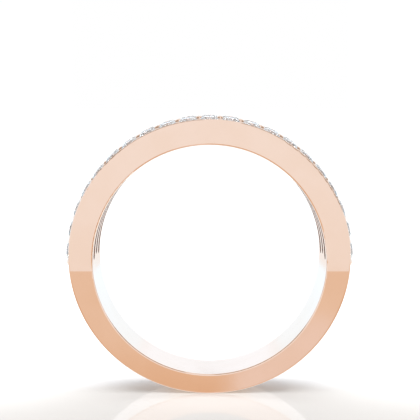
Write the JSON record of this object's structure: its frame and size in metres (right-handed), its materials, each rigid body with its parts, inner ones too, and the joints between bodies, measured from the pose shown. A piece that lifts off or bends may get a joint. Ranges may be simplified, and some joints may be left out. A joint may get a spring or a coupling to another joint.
{
  "type": "wedding band",
  "caption": "Half-eternity wedding band in rose gold, with pavé-set round brilliants over its upper half and a plain tapered shank.",
  "frame": {"origin": "centre of the finger bore", "axes": "+Y along the finger bore, +Z to the middle of the stones, so -Z points to the bottom of the shank"},
  "size_m": [0.0212, 0.0052, 0.0206],
  "materials": {
    "rose_gold": "mirror polish",
    "diamond": "faceted and polished"
  },
  "bodies": {
    "root": {"gold_band": "rose_gold", "centre_diamond_01": "diamond", "centre_diamond_02": "diamond", "centre_diamond_03": "diamond", "centre_diamond_04": "diamond", "centre_diamond_05": "diamond", "centre_diamond_06": "diamond", "centre_diamond_07": "diamond", "centre_diamond_08": "diamond", "centre_diamond_09": "diamond", "centre_diamond_10": "diamond", "centre_diamond_11": "diamond", "centre_diamond_12": "diamond", "centre_diamond_13": "diamond", "centre_diamond_14": "diamond", "centre_diamond_15": "diamond", "centre_diamond_16": "diamond", "centre_diamond_17": "diamond", "centre_diamond_18": "diamond", "centre_diamond_19": "diamond", "centre_diamond_20": "diamond", "centre_diamond_21": "diamond", "outer_diamonds_01": "diamond", "outer_diamonds_02": "diamond", "outer_diamonds_03": "diamond", "outer_diamonds_04": "diamond", "outer_diamonds_05": "diamond", "outer_diamonds_06": "diamond", "outer_diamonds_07": "diamond", "outer_diamonds_08": "diamond", "outer_diamonds_09": "diamond", "outer_diamonds_10": "diamond", "outer_diamonds_11": "diamond", "outer_diamonds_12": "diamond", "outer_diamonds_13": "diamond", "outer_diamonds_14": "diamond", "outer_diamonds_15": "diamond", "outer_diamonds_16": "diamond", "outer_diamonds_17": "diamond", "outer_diamonds_18": "diamond", "outer_diamonds_19": "diamond", "outer_diamonds_20": "diamond", "outer_diamonds_21": "diamond"}
  },
  "joints": []
}
